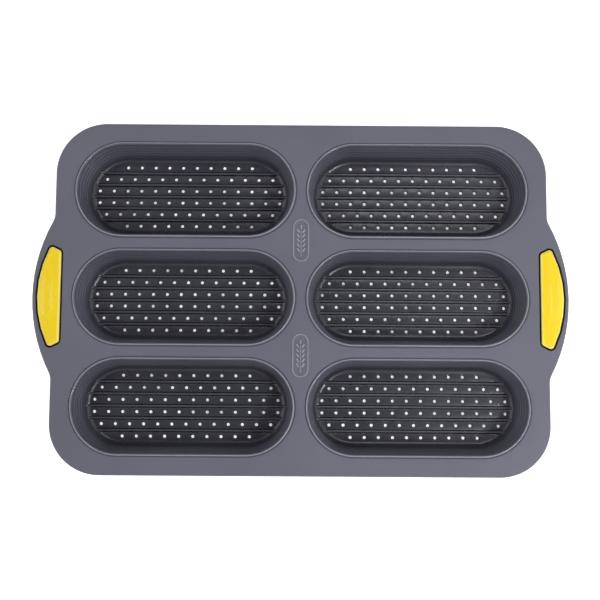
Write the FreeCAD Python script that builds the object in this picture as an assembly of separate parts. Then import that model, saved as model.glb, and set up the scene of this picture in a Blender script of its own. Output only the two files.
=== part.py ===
"""Baguette tray: six vented loaf cups in one grey silicone moulding, a rim wire and two yellow hand grips.

Row frame in millimetres: X runs from handle to handle, Y from front to rear, Z up. The origin is the centre
of the tray on the surface it stands on. The grey moulding is written as several solids that meet face to
face: the thick rim, the thin deck, and a wall and a vented floor for each cup. The rim wire and the two
grips are separate pieces.
"""
import FreeCAD
import Part
import math
import os

from FreeCAD import Vector

# Overall size
LENGTH = 380.0                # over both handle tabs
WIDTH = 250.0                 # front edge to rear edge
HEIGHT = 30.0                 # underside of the cup floors to the crown of the grips

# Plan of the tray
SIDE_X = 175.5                # centre to the straight side beside a handle tab
CORNER_R = 36.0
TAB_R = 116.0                 # radius of a handle tab's outer edge
TAB_BLEND_R = 12.0            # hollow radius where the tab leaves the straight side

# Heights
DECK_TOP = 28.2
DECK_T = 2.2
RIM_T = 6.0
RIM_W = 8.5                   # width of the thick rim along the straight sides
RIM_EDGE_R = 1.6
RIM_FOOT_R = 1.0

# Loaf cups: a cup is every point within a given radius of a straight line of length 2 * CUP_HALF_RUN
COLUMN_PITCH = 165.3
ROW_PITCH = 77.0
CUP_HALF_RUN = 44.5
CUP_EDGE_R = 35.0             # where a cup meets the deck
BEAD_R = 33.4                 # crest of the raised bead round the mouth
BEAD_W = 2.0
BEAD_H = 1.0
MOUTH_R = 32.3                # inner wall at its top
WALL_TOP = 27.6
TERRACES = 5                  # shallow ledges round the inner wall
LEDGE_W = 0.44
LEDGE_H = 0.36
TERRACE_DRAFT = 0.30          # how far each terrace leans in
WALL_T = 2.0
INNER_FILLET = 4.2            # inner wall to floor
FLOOR_T = 1.8
FLOOR_EDGE_R = 24.2           # where a cup wall meets its floor
EAVE_INSET = 0.7              # outer wall, at its top, to the edge of the cup
EAVE_DROP = 0.8               # and to the underside of the deck

# Floor ribs and vent holes
RIB_PITCH = 8.77
RIB_COUNT = 5
RIB_W = 1.8
RIB_CREST_W = 0.9
RIB_H = 1.2
RIB_SHOULDER = 0.6            # share of the height where the flat flanks end
RIB_END_R = 27.5              # the ribs run out in the wall's fillet
VENT_PITCH = 10.24
VENT_R = 1.1
VENTS_IN_ROW = (10, 13, 14, 14, 13, 10)

# Hand grips: an inner straight side, two slanted ends and an outer arc
GRIP_IN_X = 170.0
GRIP_OUT_X = 186.3
GRIP_OUT_R = 78.0
GRIP_IN_HALF = 32.3           # half-length of the inner side
GRIP_OUT_HALF = 36.0          # half-length at the outer corners
GRIP_CORNER_R = 2.5
GRIP_BOTTOM = 21.4
GRIP_CROWN = 0.9              # rise of the crown across the grip
GRIP_EDGE_R = 1.2
GRIP_GAP = 1.2                # open groove between grip and rim
LIP_REACH = 1.4               # how far the rim's lip reaches into the grip's waist
LIP_BOTTOM = 23.0
LIP_TOP = 26.0
FINGER_RIBS = 2
FINGER_RIBS_X = 179.4         # middle of the set of finger ribs
FINGER_RIB_PITCH = 6.1
FINGER_RIB_W = 1.7
FINGER_RIB_HALF = 13.8        # mean half-length of the finger ribs
FINGER_RIB_GROWTH = 3.5       # how much further each rib reaches than the one on its inner side
FINGER_RIB_RISE = 0.35

# Rim wire: one closed ring that passes through both grips
WIRE_R = 1.1
WIRE_Z = 24.5
WIRE_INSET = 4.0              # wire centre to the tray's straight edges
WIRE_BOW_X = 177.6            # wire centre at the middle of a grip
WIRE_BOW_R = 143.0
WIRE_BLEND_R = 60.0

# Badge: a plain ear of wheat in an oval, raised on the deck between the cups
BADGE_Y = 40.9
BADGE_HALF_RUN = 9.6
BADGE_R = 5.8
BADGE_LINE = 1.0
BADGE_H = 0.7
GRAIN_PAIRS = 5
GRAIN_PITCH = 3.4
GRAIN_HALF_RUN = 1.1
GRAIN_R = 0.65
GRAIN_LEAN = 35.0             # angle between a grain and the stem
GRAIN_OUT = 1.9               # stem to the middle of a grain
STEM_W = 0.7
STEM_FOOT = 11.5              # below the middle of the badge

# Working values
LEVEL = 0.05                  # how far from a height an edge may be and still count as lying at it
PROUD = 1.0                   # how far a cutting tool stands out of what it cuts

COLUMNS = {"left": -COLUMN_PITCH / 2, "right": COLUMN_PITCH / 2}
ROWS = {"rear": ROW_PITCH, "middle": 0.0, "front": -ROW_PITCH}
Z_AXIS = Vector(0, 0, 1)


def arc_between(centre, start, end, turn):
    """Circular arc about centre from start to end; turn is +1 for anticlockwise."""
    a0 = math.atan2(start.y - centre.y, start.x - centre.x)
    a1 = math.atan2(end.y - centre.y, end.x - centre.x)
    sweep = ((a1 - a0) * turn) % (2 * math.pi)
    radius = (start - centre).Length
    middle = a0 + turn * sweep / 2
    via = centre + Vector(radius * math.cos(middle), radius * math.sin(middle), 0)
    return Part.Arc(start, via, end).toShape()


def bowed_rectangle(side_x, half_y, corner_r, bow_x, bow_r, blend_r, z):
    """Closed wire: a rounded rectangle whose two ends bow out to bow_x in a tangent arc of radius bow_r."""
    bow_centre = Vector(bow_x - bow_r, 0, z)
    blend_x = side_x + blend_r
    blend_y = math.sqrt((bow_r + blend_r) ** 2 - (blend_x - bow_centre.x) ** 2)
    blend_centre = Vector(blend_x, blend_y, z)
    corner_centre = Vector(side_x - corner_r, half_y - corner_r, z)
    on_bow = bow_centre + (blend_centre - bow_centre) * (bow_r / (bow_r + blend_r))
    on_side = Vector(side_x, blend_y, z)
    corner_start = Vector(side_x, half_y - corner_r, z)
    corner_end = Vector(side_x - corner_r, half_y, z)

    def flip(p, sx, sy):
        return Vector(p.x * sx, p.y * sy, p.z)

    def blend_arc(sx, sy, turn):
        return arc_between(flip(blend_centre, sx, sy), flip(on_bow, sx, sy), flip(on_side, sx, sy), -turn)

    def corner_arc(sx, sy, turn):
        start, end = flip(corner_start, sx, sy), flip(corner_end, sx, sy)
        return arc_between(flip(corner_centre, sx, sy), start, end, turn)

    edges = []
    for sx, sy in ((1, 1), (-1, 1), (-1, -1), (1, -1)):
        turn = sx * sy
        edges += [
            blend_arc(sx, sy, turn),
            Part.makeLine(flip(on_side, sx, sy), flip(corner_start, sx, sy)),
            corner_arc(sx, sy, turn),
        ]
    for sx in (1, -1):
        edges.append(arc_between(flip(bow_centre, sx, 1), flip(on_bow, sx, -sx), flip(on_bow, sx, sx), 1))
    for sy in (1, -1):
        edges.append(Part.makeLine(flip(corner_end, 1, sy), flip(corner_end, -1, sy)))
    return Part.Wire(Part.__sortEdges__(edges))


def upright_edges(solid):
    """The vertical edges of a prism."""
    return [e for e in solid.Edges if abs(e.tangentAt(e.FirstParameter).z) > 0.5]


def level_edges(solid, z):
    """The edges of a solid that lie flat at height z."""
    boxes = [(e, e.BoundBox) for e in solid.Edges]
    return [e for e, box in boxes if abs(box.ZMin - z) < LEVEL and abs(box.ZMax - z) < LEVEL]


def rounded_block(half_x, half_y, corner_r, bottom, top):
    """Upright block with a rounded rectangular plan."""
    block = Part.makeBox(2 * half_x, 2 * half_y, top - bottom, Vector(-half_x, -half_y, bottom))
    return block.makeFillet(corner_r, upright_edges(block))


def stadium(radius, half_run, bottom, top):
    """Upright solid: every point within radius of a line of half_run each way along X."""
    height = top - bottom
    body = Part.makeBox(2 * half_run, 2 * radius, height, Vector(-half_run, -radius, bottom))
    for x in (-half_run, half_run):
        body = body.fuse(Part.makeCylinder(radius, height, Vector(x, 0, bottom)))
    return body.removeSplitter()


def sweep_round_cup(profile):
    """Sweeps a closed face, drawn in the Y-Z plane at positive Y, round a cup's plan."""
    run = Vector(2 * CUP_HALF_RUN, 0, 0)
    rear = profile.translated(Vector(-CUP_HALF_RUN, 0, 0))
    front = rear.rotated(Vector(-CUP_HALF_RUN, 0, 0), Z_AXIS, 180)
    pieces = [rear.extrude(run), front.extrude(run)]
    pieces.append(rear.revolve(Vector(-CUP_HALF_RUN, 0, 0), Z_AXIS, 180))
    right = front.translated(run)
    pieces.append(right.revolve(Vector(CUP_HALF_RUN, 0, 0), Z_AXIS, 180))
    return pieces[0].fuse(pieces[1:])


def terraced_wall():
    """Points (radius, height) down the inner wall, from the mouth to the top of the floor fillet."""
    fall = (WALL_TOP - FLOOR_T - INNER_FILLET) / TERRACES
    points = [(MOUTH_R, WALL_TOP)]
    for step in range(TERRACES):
        top = WALL_TOP - step * fall
        radius = MOUTH_R - step * (TERRACE_DRAFT + LEDGE_W) - TERRACE_DRAFT
        points.append((radius, top - fall + LEDGE_H))
        points.append((radius - LEDGE_W, top - fall))
    return points


def cup_wall():
    """One cup's wall, from the bead round its mouth to the edge of its floor."""
    def at(r, z):
        return Vector(0, r, z)

    def line(a, b):
        return Part.makeLine(at(*a), at(*b))

    wall = terraced_wall()
    foot_r, foot_z = wall[-1]
    inner_flat = foot_r - INNER_FILLET
    outer_r = foot_r + WALL_T
    outer_flat = outer_r - foot_z
    diagonal = math.sqrt(0.5)
    deck_under = DECK_TOP - DECK_T
    bead_out = BEAD_R + BEAD_W / 2
    outer_top = (CUP_EDGE_R - EAVE_INSET, deck_under - EAVE_DROP)
    inner_mid = at(inner_flat + INNER_FILLET * diagonal, foot_z - INNER_FILLET * diagonal)
    outer_mid = at(outer_flat + foot_z * diagonal, foot_z - foot_z * diagonal)
    edges = [
        line((CUP_EDGE_R, deck_under), (CUP_EDGE_R, DECK_TOP)),
        line((CUP_EDGE_R, DECK_TOP), (bead_out, DECK_TOP)),
        Part.Arc(at(bead_out, DECK_TOP), at(BEAD_R, DECK_TOP + BEAD_H), at(*wall[0])).toShape(),
    ]
    edges += [line(a, b) for a, b in zip(wall, wall[1:])]
    edges += [
        Part.Arc(at(foot_r, foot_z), inner_mid, at(inner_flat, FLOOR_T)).toShape(),
        line((inner_flat, FLOOR_T), (FLOOR_EDGE_R, FLOOR_T)),
        line((FLOOR_EDGE_R, FLOOR_T), (FLOOR_EDGE_R, 0)),
        line((FLOOR_EDGE_R, 0), (outer_flat, 0)),
        Part.Arc(at(outer_flat, 0), outer_mid, at(outer_r, foot_z)).toShape(),
        line((outer_r, foot_z), outer_top),
        line(outer_top, (CUP_EDGE_R, deck_under)),
    ]
    wall = sweep_round_cup(Part.Face(Part.Wire(edges)))
    return wall.fuse(floor_ribs().cut(stadium(FLOOR_EDGE_R, CUP_HALF_RUN, 0, WALL_TOP)))


def floor_ribs():
    """A cup's straight parallel ribs, with rounded crests, to where they run out in the wall's fillet."""
    reach = CUP_HALF_RUN + RIB_END_R
    shoulder = FLOOR_T + RIB_H * RIB_SHOULDER
    half, half_crest = RIB_W / 2, RIB_CREST_W / 2
    corners = [(-half, FLOOR_T), (-half_crest, shoulder), (half_crest, shoulder), (half, FLOOR_T)]
    p = [Vector(-reach, y, z) for y, z in corners]
    crest = Part.Arc(p[1], Vector(-reach, 0, FLOOR_T + RIB_H), p[2]).toShape()
    edges = [Part.makeLine(p[0], p[1]), crest, Part.makeLine(p[2], p[3]), Part.makeLine(p[3], p[0])]
    rib = Part.Face(Part.Wire(edges)).extrude(Vector(2 * reach, 0, 0))
    places = [(n - (RIB_COUNT - 1) / 2) * RIB_PITCH for n in range(RIB_COUNT)]
    room = stadium(RIB_END_R, CUP_HALF_RUN, 0, WALL_TOP)
    return Part.Compound([rib.translated(Vector(0, y, 0)).common(room) for y in places])


def cup_floor():
    """One cup's floor: a flat plate with ribs between its rows of vent holes."""
    floor = stadium(FLOOR_EDGE_R, CUP_HALF_RUN, 0, FLOOR_T)
    floor = floor.fuse(floor_ribs().common(stadium(FLOOR_EDGE_R, CUP_HALF_RUN, 0, WALL_TOP)))
    rows = len(VENTS_IN_ROW)
    vents = []
    for row, count in enumerate(VENTS_IN_ROW):
        y = (row - (rows - 1) / 2) * RIB_PITCH
        for n in range(count):
            x = (n - (count - 1) / 2) * VENT_PITCH
            vents.append(Part.makeCylinder(VENT_R, FLOOR_T + 2 * PROUD, Vector(x, y, -PROUD)))
    return floor.cut(vents)


def grip_plan(grow, bottom, top):
    """Upright solid with the plan of the right-hand grip, grown outwards by grow."""
    centre = Vector(GRIP_OUT_X - GRIP_OUT_R, 0, bottom)
    outer_x = centre.x + math.sqrt(GRIP_OUT_R ** 2 - GRIP_OUT_HALF ** 2)
    inner = [Vector(GRIP_IN_X, y, bottom) for y in (GRIP_IN_HALF, -GRIP_IN_HALF)]
    outer = [Vector(outer_x, y, bottom) for y in (-GRIP_OUT_HALF, GRIP_OUT_HALF)]
    edges = [
        Part.makeLine(inner[0], inner[1]),
        Part.makeLine(inner[1], outer[0]),
        arc_between(centre, outer[0], outer[1], 1),
        Part.makeLine(outer[1], inner[0]),
    ]
    solid = Part.Face(Part.Wire(edges)).extrude(Vector(0, 0, top - bottom))
    solid = solid.makeFillet(GRIP_CORNER_R, upright_edges(solid))
    if grow == 0:
        return solid
    base = min(solid.Faces, key=lambda f: f.CenterOfMass.z)
    grown = base.makeOffset2D(grow)
    return Part.Face(grown.Wires[0]).extrude(Vector(0, 0, top - bottom))


def finger_ribs():
    """Low parallel ribs on the crown of the right-hand grip, bent to follow its outer edge."""
    ribs = []
    bend_centre = Vector(GRIP_OUT_X - GRIP_OUT_R, 0, GRIP_BOTTOM)
    middle_r = FINGER_RIBS_X - bend_centre.x
    for n in range(FINGER_RIBS):
        offset = n - (FINGER_RIBS - 1) / 2
        radius = middle_r + offset * FINGER_RIB_PITCH
        half_angle = math.degrees((FINGER_RIB_HALF + FINGER_RIB_GROWTH * offset) / radius)
        ring = Part.makeCylinder(radius + FINGER_RIB_W / 2, HEIGHT, bend_centre, Z_AXIS, 2 * half_angle)
        ring = ring.cut(Part.makeCylinder(radius - FINGER_RIB_W / 2, HEIGHT, bend_centre))
        ribs.append(ring.rotated(bend_centre, Z_AXIS, -half_angle))
    return ribs


def crowned(solid, top):
    """solid kept below a crown that is highest along the middle of the right-hand grip."""
    half_width = (GRIP_OUT_X - GRIP_IN_X) / 2
    radius = (half_width ** 2 + GRIP_CROWN ** 2) / (2 * GRIP_CROWN)
    middle_x = GRIP_IN_X + half_width
    roof = Part.makeCylinder(radius, WIDTH, Vector(middle_x, -WIDTH / 2, top - radius), Vector(0, 1, 0))
    return solid.common(roof)


def right_grip(wire):
    """Yellow grip: a crowned pad with finger ribs, a waist held by the rim's lip, and a flat lower pad."""
    pad_top = HEIGHT - FINGER_RIB_RISE
    upper = crowned(grip_plan(0, LIP_TOP, pad_top), pad_top)
    top_edges = [e for e in upper.Edges if e.BoundBox.ZMin > LIP_TOP + GRIP_EDGE_R]
    upper = upper.makeFillet(GRIP_EDGE_R, top_edges)
    inner_plan = grip_plan(-GRIP_EDGE_R, LIP_TOP, HEIGHT)
    upper = upper.fuse([crowned(rib.common(inner_plan), HEIGHT) for rib in finger_ribs()])
    waist = grip_plan(-LIP_REACH, LIP_BOTTOM, LIP_TOP)
    lower = grip_plan(0, GRIP_BOTTOM, LIP_BOTTOM)
    lower = lower.makeFillet(GRIP_EDGE_R, level_edges(lower, GRIP_BOTTOM))
    return upper.fuse([waist, lower]).cut(wire)


def tray_plan(bottom, top):
    """Upright solid with the tray's whole outline."""
    outline = bowed_rectangle(SIDE_X, WIDTH / 2, CORNER_R, LENGTH / 2, TAB_R, TAB_BLEND_R, bottom)
    return Part.Face(outline).extrude(Vector(0, 0, top - bottom))


def rim_wire():
    """Closed ring of round steel wire that bows out through the grips."""
    path = bowed_rectangle(
        SIDE_X - WIRE_INSET, WIDTH / 2 - WIRE_INSET, CORNER_R - WIRE_INSET,
        WIRE_BOW_X, WIRE_BOW_R, WIRE_BLEND_R, WIRE_Z,
    )
    start = path.Edges[0].firstVertex(True).Point
    heading = path.Edges[0].tangentAt(path.Edges[0].FirstParameter)
    section = Part.Wire(Part.makeCircle(WIRE_R, start, heading))
    ring = path.makePipeShell([section], True, False)
    return Part.Solid(ring) if ring.ShapeType != "Solid" else ring


def rim(wire):
    """Thick band round the tray and its handle tabs, with a lipped window for each grip."""
    bottom = DECK_TOP - RIM_T
    band = tray_plan(bottom, DECK_TOP)
    band = band.makeFillet(RIM_EDGE_R, level_edges(band, DECK_TOP))
    band = band.makeFillet(RIM_FOOT_R, level_edges(band, bottom))
    band = band.cut(deck_plan(bottom - PROUD, DECK_TOP + PROUD))
    window = [
        grip_plan(GRIP_GAP, bottom - PROUD, LIP_BOTTOM),
        grip_plan(-LIP_REACH, LIP_BOTTOM, LIP_TOP),
        grip_plan(GRIP_GAP, LIP_TOP, DECK_TOP + PROUD),
    ]
    for turn in (0, 180):
        band = band.cut([w.rotated(Vector(), Z_AXIS, turn) for w in window])
    return band.cut(wire)


def deck_plan(bottom, top):
    """Upright block with the plan of the thin deck inside the rim."""
    return rounded_block(SIDE_X - RIM_W, WIDTH / 2 - RIM_W, CORNER_R - RIM_W, bottom, top)


def badge():
    """Raised oval and ear of wheat, standing on the deck with the ear pointing to the rear."""
    low, high = DECK_TOP - BADGE_H, DECK_TOP + BADGE_H
    mark = stadium(BADGE_R, BADGE_HALF_RUN, low, high)
    mark = mark.cut(stadium(BADGE_R - BADGE_LINE, BADGE_HALF_RUN, low, high))
    grain = stadium(GRAIN_R, GRAIN_HALF_RUN, low, high)
    tip = GRAIN_PAIRS * GRAIN_PITCH / 2
    stem = Part.makeBox(tip + STEM_FOOT, STEM_W, high - low, Vector(-STEM_FOOT, -STEM_W / 2, low))
    mark = mark.fuse(stem)
    mark = mark.fuse(grain.translated(Vector(tip + GRAIN_HALF_RUN, 0, 0)))
    for n in range(GRAIN_PAIRS):
        along = (n - (GRAIN_PAIRS - 1) / 2) * GRAIN_PITCH
        for side in (-1, 1):
            leaf = grain.rotated(Vector(), Z_AXIS, side * GRAIN_LEAN)
            mark = mark.fuse(leaf.translated(Vector(along, side * GRAIN_OUT, 0)))
    return mark.rotated(Vector(), Z_AXIS, 90)


def deck():
    """Thin sheet between the cups, with a window for each cup and the two raised badges."""
    sheet = deck_plan(DECK_TOP - DECK_T, DECK_TOP)
    hole = stadium(CUP_EDGE_R, CUP_HALF_RUN, DECK_TOP - DECK_T - PROUD, DECK_TOP + PROUD)
    holes = [hole.translated(Vector(x, y, 0)) for x in COLUMNS.values() for y in ROWS.values()]
    sheet = sheet.cut(holes)
    marks = [badge().translated(Vector(0, y, 0)) for y in (-BADGE_Y, BADGE_Y)]
    return sheet.fuse(marks)


def pieces():
    """Every sub-part by node name."""
    wire = rim_wire()
    grip = right_grip(wire)
    wall = cup_wall()
    floor = cup_floor()
    made = {
        "rim": rim(wire),
        "deck": deck(),
        "rim_wire": wire,
        "grip_right": grip,
        "grip_left": grip.rotated(Vector(), Z_AXIS, 180),
    }
    for row, y in ROWS.items():
        for column, x in COLUMNS.items():
            made[f"loaf_cup_{row}_{column}"] = wall.translated(Vector(x, y, 0))
            made[f"vented_floor_{row}_{column}"] = floor.translated(Vector(x, y, 0))
    return made


def main():
    os.makedirs("parts", exist_ok=True)
    for name, shape in pieces().items():
        volume = shape.Volume / 1000
        print(f"{name:28s} solids {len(shape.Solids)}  valid {shape.isValid()}  volume {volume:7.2f} cm3")
        shape.exportStep(f"parts/{name}.step")


main()
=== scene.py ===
"""Baguette tray: six perforated loaf cups in grey silicone, with a yellow silicone grip in each handle tab.

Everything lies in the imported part's own frame. Mesh code works in millimetres and writes vertices in metres.
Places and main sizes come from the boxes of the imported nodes. The smaller sizes are the named values below,
in millimetres except for those of the materials, table, lamps and camera, which are in metres.
"""

import bmesh
import bpy
import math
import numpy as np
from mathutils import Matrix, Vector, noise
from mathutils.geometry import delaunay_2d_cdt


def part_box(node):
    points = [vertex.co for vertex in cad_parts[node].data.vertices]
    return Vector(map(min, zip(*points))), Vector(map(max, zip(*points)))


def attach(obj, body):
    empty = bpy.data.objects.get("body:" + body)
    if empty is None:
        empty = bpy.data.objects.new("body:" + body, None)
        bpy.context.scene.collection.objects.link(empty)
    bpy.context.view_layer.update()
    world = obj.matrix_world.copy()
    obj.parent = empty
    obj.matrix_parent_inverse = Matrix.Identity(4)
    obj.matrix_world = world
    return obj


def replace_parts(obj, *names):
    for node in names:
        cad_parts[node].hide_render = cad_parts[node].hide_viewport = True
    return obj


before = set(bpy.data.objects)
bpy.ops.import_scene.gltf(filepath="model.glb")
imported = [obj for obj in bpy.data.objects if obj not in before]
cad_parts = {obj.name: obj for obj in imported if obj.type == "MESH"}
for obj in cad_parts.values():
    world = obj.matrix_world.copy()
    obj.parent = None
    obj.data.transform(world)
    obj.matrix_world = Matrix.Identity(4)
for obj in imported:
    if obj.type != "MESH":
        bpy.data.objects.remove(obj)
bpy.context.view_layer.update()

MM = 0.001

# Plan curves
CORNER_R = 36.0
TAB_R = 116.0
TAB_BLEND_R = 12.0
SIDE_INSET = 14.5             # straight side to the tip of a handle tab
DECK_CORNER_R = 27.5
GRIP_OUT_R = 78.0
GRIP_IN_HALF = 32.3
GRIP_OUT_HALF = 36.0
GRIP_CORNER_R = 2.5

# Body sections
RIM_EDGE_R = 1.6
RIM_FOOT_R = 1.0
SOFT_EDGE = 0.35              # rounding of the small edges
BEAD_R = 33.4
BEAD_HALF_W = 1.0
# Bead, outside and inside: distance from its crest, share of its height, and a value that paints the crest
# paler, partly rubbing and partly painted highlight
BEAD_OUTSIDE = ((0.92, 0, 0), (0.78, 0.45, 0), (0.58, 0.78, 0.4), (0.3, 0.96, 0.9), (0, 1, 1))
BEAD_INSIDE = ((0.35, 0.92, 0.9), (0.65, 0.7, 0.5), (0.88, 0.35, 0.1))
GROOVE = 0.6                  # depth of the fine groove round the bead
# Groove: distance out from the bead's foot, share of the groove's depth, and a value, below zero in the
# groove, that paints it dark as painted shade
GROOVE_SECTION = ((0.95, 0, 0), (0.6, 0.45, -0.1), (0.35, 1, -0.45), (0.1, 0.8, -0.4))
MOUTH_R = 32.3
MOUTH_DROP = 0.6              # deck top to the top of the inner wall
MOUTH_EASE_R = 0.08           # curve from the bead into the inner wall
MOUTH_EASE_H = 0.35
TERRACES = 5
LEDGE_W = 0.44
LEDGE_H = 0.36
LEDGE_EASE_R = 0.03           # curve from a terrace's face into its ledge
LEDGE_EASE_H = 0.3
# Ledge: share of its width and share of its height
LEDGE_SECTION = ((0.2, 0.75), (0.75, 0.45), (1, 0))
TERRACE_DRAFT = 0.30
WALL_T = 2.0
INNER_FILLET = 4.2
FLOOR_T = 1.8
FILLET_SPLIT = math.radians(62)   # angle in the floor fillet up to which the floor is one sheet
EAVE_INSET = 1.4              # outer wall, at its top, to the edge of the cup
EAVE_DROP = 1.6               # and to the underside of the deck
EAVE_CORNER = 1.2             # where the outer wall and the deck would meet, to the edge of the cup
EAVE_REACH = 0.4              # how far the eave's curve runs out past the edge of the cup
POCKET_CORNER_R = 1.2         # rim's inner wall to the underside of the deck

# Floor ribs and vent holes
RIB_PITCH = 8.77
RIB_COUNT = 5
# Half of a rib's section: distance from its middle, height above the floor, and a value that paints the crest
# paler, partly rubbing and partly painted highlight, and the grooves beside it dark as painted shade
RIB_SECTION = (
    (0, 1.2, 0.5), (0.42, 1.15, 0.5), (0.66, 0.95, 0.3), (0.8, 0.45, 0), (0.9, -0.2, -1), (1.05, -0.5, -1),
    (1.25, -0.45, -1), (1.45, 0, 0),
)
RIB_GROOVE_FADE = 2.0         # length over which the grooves beside the ribs, and their painted shade, run out in the fillet
VENT_PITCH = 10.24
VENT_R = 1.1
VENT_EDGE = 0.42
VENT_LIP_W = 0.08             # first turn of a vent's eased edge
VENT_LIP_H = 0.06
VENTS_IN_ROW = (10, 13, 14, 14, 13, 10)

# Grips
GRIP_GAP = 1.2
LIP_REACH = 1.4
LIP_BOTTOM = 23.0
LIP_TOP = 26.0
GRIP_EDGE_R = 1.2
GRIP_CROWN = 0.9
FINGER_RIBS = 2
FINGER_RIBS_X = 179.4         # middle of the set of finger ribs
FINGER_RIB_PITCH = 6.1
FINGER_RIB_W = 1.7
FINGER_RIB_HALF = 13.8        # mean half-length of the finger ribs
FINGER_RIB_GROWTH = 3.5       # how much further each rib reaches than the one on its inner side
FINGER_RIB_RISE = 0.35
FINGER_RIB_FADE = 5.0         # length over which a rib's end runs out
# how much paler a finger rib's crest is painted: partly rubbing, partly painted highlight
FINGER_RIB_WEAR_AND_HIGHLIGHT = 0.3
# grip's edge rounding, from top to side: how much paler it is painted, partly rubbing and partly painted
# highlight
GRIP_EDGE_WEAR_AND_HIGHLIGHT = (0.5, 0.85, 1.0, 0.9, 0.4, 0.0)
WAIST_SHADE_H = 1.2           # height above the lip where the painted shade on the grip's side starts
WAIST_EASE_R = 0.1            # curve from the grip's side into its waist
WAIST_EASE_H = 0.05

# Badges
BADGE_Y = 40.9
BADGE_HALF_RUN = 9.6
BADGE_R = 5.8
BADGE_LINE = 1.0
BADGE_H = 0.7
GRAIN_PAIRS = 5
GRAIN_PITCH = 3.4
GRAIN_HALF_RUN = 1.1
GRAIN_R = 0.65
GRAIN_LEAN = 35.0             # angle between a grain and the stem, in degrees
GRAIN_OUT = 1.9
STEM_HALF_W = 0.35
STEM_FOOT = 11.5
STEM_GAP = 0.25               # between the stem's end and the top grain

# Cup surface: glossy floor and duller wall; the cups' dark colour is painted shade, painted paler up the wall
SATIN_FROM = 3.0              # height where the polish starts to turn duller, and the painted shade to turn paler
SATIN_FULL = 12.0
# how much paler the wall is painted than the floor: painted light
SATIN_PAINTED_LIGHT = 2.6
SATIN_ROUGHNESS = 0.45

# Mesh density
SAME = 1e-4                   # points and normals of an outline closer than this are one
TOUCH = 0.01                  # points of a crest closer than this are one
SLIVER = 0.001                # triangles on straight edges smaller than this, in mm2, are left out
ARC_STEP = math.radians(4.0)
GRIP_ARC_STEP = math.radians(12)
RUN_STEP = 6.0
GRIP_RUN_STEP = 2.5
BADGE_ARC_STEP = math.radians(10)
BADGE_RUN_STEP = 2.0
BADGE_BANDS = 6
GRAIN_ARC_STEP = math.radians(30)
GRAIN_RUN_STEP = 1.0
GRAIN_BANDS = 3
STEM_ARC_STEP = math.radians(45)
STEM_BANDS = 2
VENT_SIDES = 20
SHEET_GRID = 5.0
SHEET_SPARE = 0.45 * SHEET_GRID   # clear band between a sheet's inner points and its edges
FLOOR_GRID = 3.4
UNDER_SPARE = 1.2
FLOOR_SPARE = 0.15
FLOOR_MARGIN = 0.8            # flat floor's edge to its inner points
RIB_ROW_STEP = 2.6            # along the ribs, and closer near their ends
RIB_ROW_FINE = 0.7
RIB_ROW_COARSE_END = 8.0      # past the cup's straight run
RIB_ROW_FINE_START = 10.0
RIB_CLEAR = 0.3               # rib section's edge to the points beside it
FILLET_RINGS = 5
FILLET_START = 0.02
CROWN_STEP = 0.4              # grip's upper face: between its rows of points
CROWN_COLUMNS = 61
CROWN_MARGIN = 8.0            # how far the rows start short of the grip's inner side
CROWN_SPARE = 0.25
GRIP_GRID = 4.0
GRIP_SPARE = 1.5
BATCH = 512                   # points tested against the edges at a time
SAG = 0.12                    # depth of the moulding's slow waviness
SAG_LENGTH = 70.0
SAG_SEED = 0.5                # slice of the noise that gives the waviness

# Silicone surface: sizes of its features, and how strong they are
DRIFT_SIZE = 0.06             # slow colour variation
PATCH_SIZE = 0.018            # patches of handling sheen
PATCH_ROUGHNESS = 0.06
RUB_SIZE = 0.004              # unevenness of rubbed edges
RUB_POLISH = 0.36             # how much less rough a rubbed edge is
SPECK_SIZE = 0.0006
SPECK_CONTRAST = 0.07
GRAIN_SIZE = 0.00045
RIPPLE_SIZE = 0.009
RIPPLE_DEPTH = 0.00006
PAINTED_RECESS_SHADE = 0.12            # painted shade in recesses, as a share of the dark tone

# Table: it glows, so shadows hardly show on it, and its glow is turned down in soft patches under the tray as
# a painted shadow
TABLE_HALF = 6.0
TABLE_DROP = 0.0001
TABLE_GLOW = 0.88
SHADE_GLOW = (0.27, 0.62)
SHADE_PATCH = 0.035
SHADE_FULL = 0.045            # tray's edge to where the painted shadow is full, and to where it starts
SHADE_START = 0.005

COOL_WHITE = (0.955, 0.965, 1.0)
# Backdrop: sine of the elevation where it starts to fade and where it ends, and its strength at each
BACKDROP = (0.10, 0.25, 0.92, 0.02)
# Softboxes: name, place, size, and watts
SOFTBOXES = (
    ("right", (0.77, 0.0, 0.64), (1.4, 1.4), 6.0),
    ("left", (-1.91, 0.0, 1.61), (2.6, 2.6), 33),
    ("key", (0.53, -0.42, 0.87), (0.12, 0.12), 4.0),
    ("front", (0.1, -1.15, 0.97), (1.2, 1.2), 3.4),
    ("overhead", (0.23, 0.84, 1.7), (0.45, 0.6), 4.2),
    ("rear_left", (-0.65, 0.46, 1.27), (0.4, 0.4), 0.6),
)

# Camera: place from the middle of the deck's top, turn in degrees, lens and sensor in millimetres
CAMERA_PLACE = (-0.00194, -0.06482, 0.66063)
CAMERA_TURN = (5.46, -0.16, 0.37)
CAMERA_LENS = 56.37
CAMERA_SENSOR = 36.0

ROWS = ("rear", "middle", "front")
COLUMNS = ("left", "right")


def node_box(node):
    """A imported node's lowest and highest corners, in millimetres."""
    low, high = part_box(node)
    return low / MM, high / MM


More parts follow.
